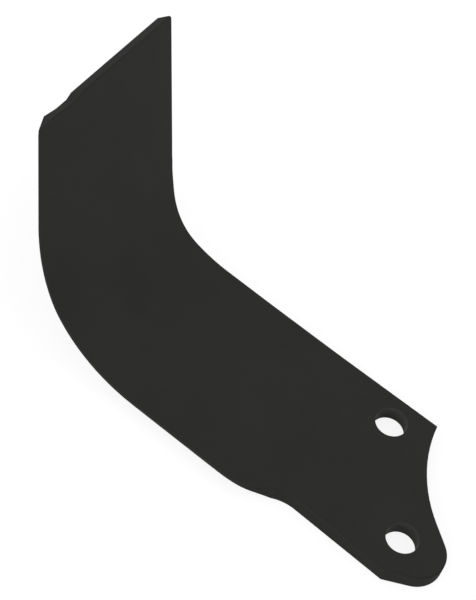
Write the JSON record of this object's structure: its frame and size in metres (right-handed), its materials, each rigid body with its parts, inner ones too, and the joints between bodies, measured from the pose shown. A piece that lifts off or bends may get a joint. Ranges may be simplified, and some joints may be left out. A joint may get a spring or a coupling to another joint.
{
  "type": "rotary tiller blade",
  "caption": "Forged rotary tiller blade: a flat shank with bolt holes for the rotor flange, curved back and folded up into a sideways wing, with a bevelled cutting edge.",
  "frame": {"origin": "midway between the centres of the two bolt holes, on the underside clamp face", "axes": "+X along the shank from the wing towards the bolted end, +Y towards the back edge, +Z to the inside of the fold, the side that the wing rises to"},
  "size_m": [0.2543, 0.143, 0.0735],
  "materials": {
    "blade": "satin near-black paint over forged steel"
  },
  "bodies": {
    "root": {"tiller_blade": "blade"}
  },
  "joints": []
}
